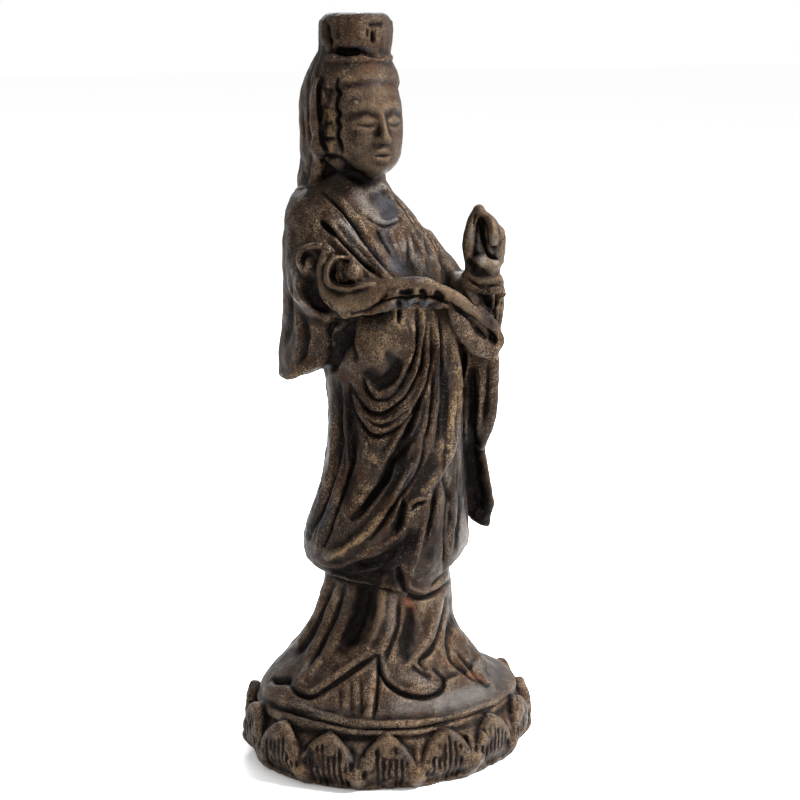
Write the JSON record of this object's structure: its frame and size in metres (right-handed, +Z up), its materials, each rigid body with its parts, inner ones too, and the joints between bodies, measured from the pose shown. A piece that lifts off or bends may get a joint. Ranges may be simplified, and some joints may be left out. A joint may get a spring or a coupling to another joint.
{
  "type": "guanyin figure",
  "caption": "Small cast bronze standing figure in long robes with a sceptre and one raised hand, on an oval lotus base.",
  "frame": {"origin": "centre of the base's flat underside", "axes": "+Z up through the figure, -Y the way that the figure faces, -X the side of its own right hand"},
  "size_m": [0.0752, 0.0665, 0.1812],
  "materials": {
    "bronze": "dark brown patinated cast bronze, worn to brown brass on the high places, satin"
  },
  "bodies": {
    "root": {"guanyin_figure": "bronze"}
  },
  "joints": []
}
